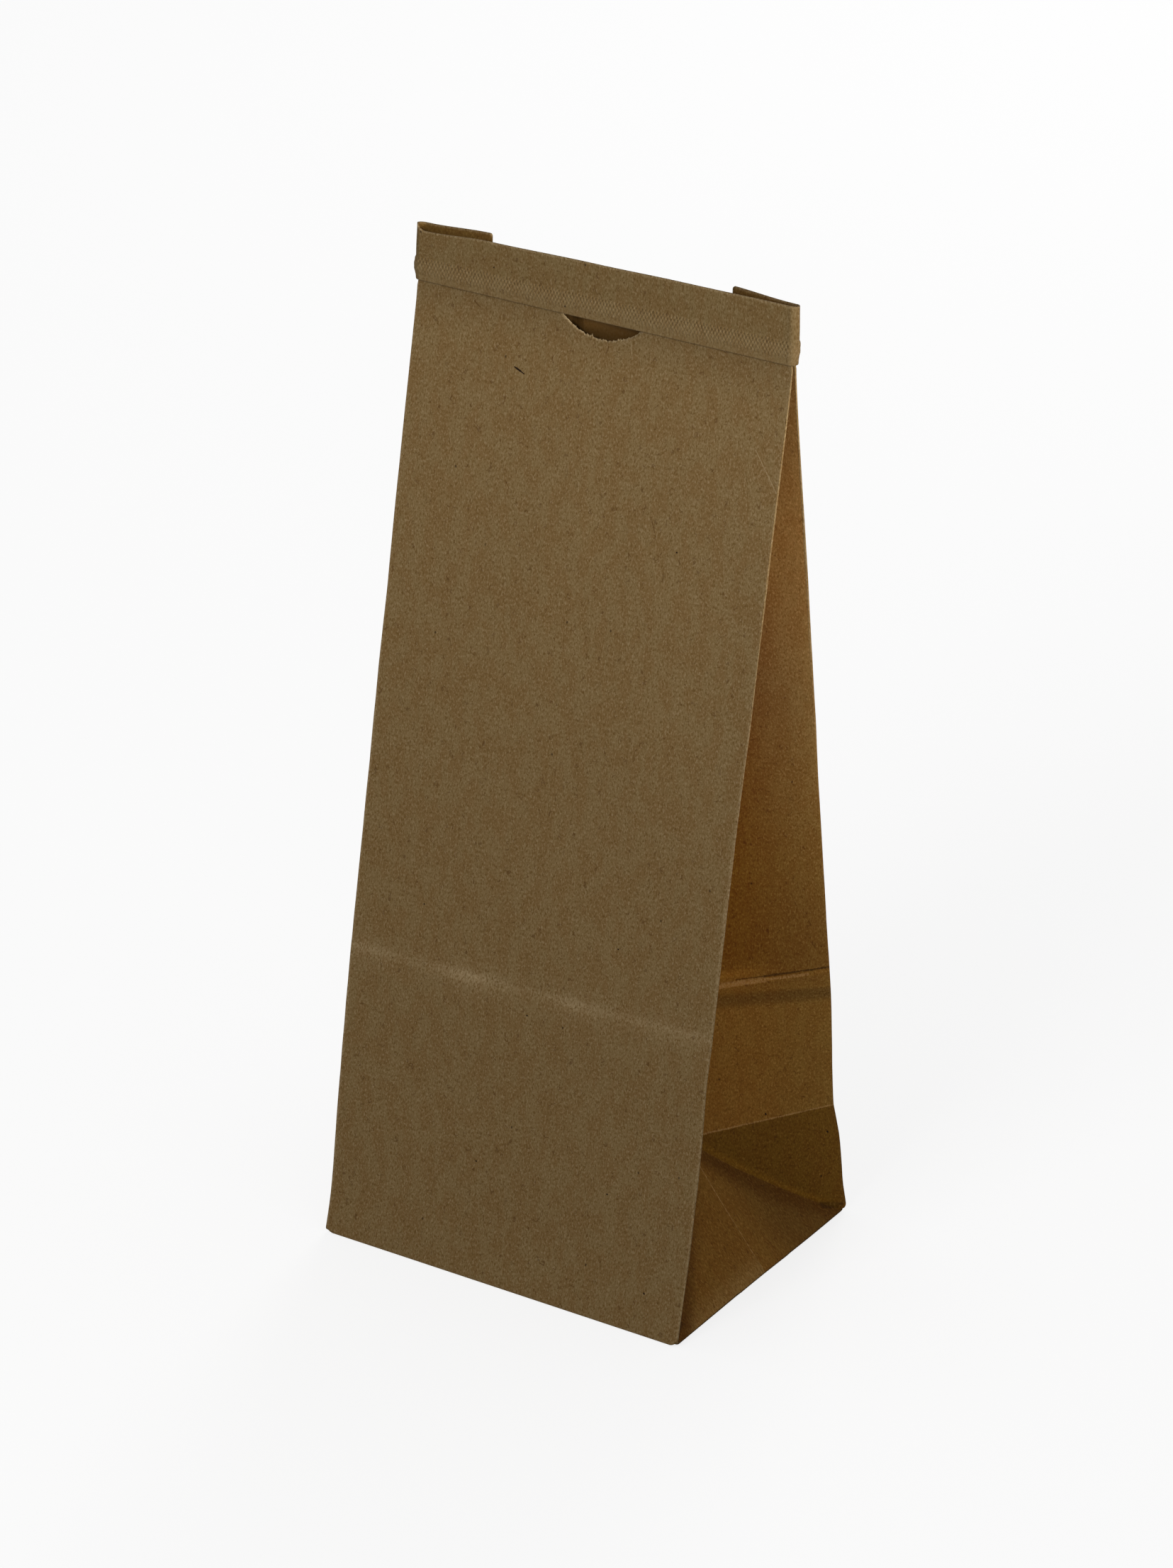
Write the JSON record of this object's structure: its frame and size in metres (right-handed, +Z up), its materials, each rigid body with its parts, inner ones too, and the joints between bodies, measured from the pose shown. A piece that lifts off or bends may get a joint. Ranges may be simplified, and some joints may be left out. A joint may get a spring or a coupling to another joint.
{
  "type": "block bottom coffee bag",
  "caption": "Gusseted kraft paper bag with a folded block bottom and a thumb notch, its mouth pinched flat and held shut by a wrapped tin tie.",
  "frame": {"origin": "middle of the base, on the surface that the bag stands on", "axes": "+Z up from the base to the mouth; the front panel with the thumb notch faces -Y; +X to the right as seen from the front"},
  "size_m": [0.0812, 0.0642, 0.196],
  "materials": {
    "kraft_paper": "matte",
    "tie_paper": "matte",
    "tie_metal": "satin"
  },
  "bodies": {
    "root": {"paper_bag": "kraft_paper", "tie_sleeve": "tie_paper", "tie_ribbon": "tie_metal"}
  },
  "joints": []
}
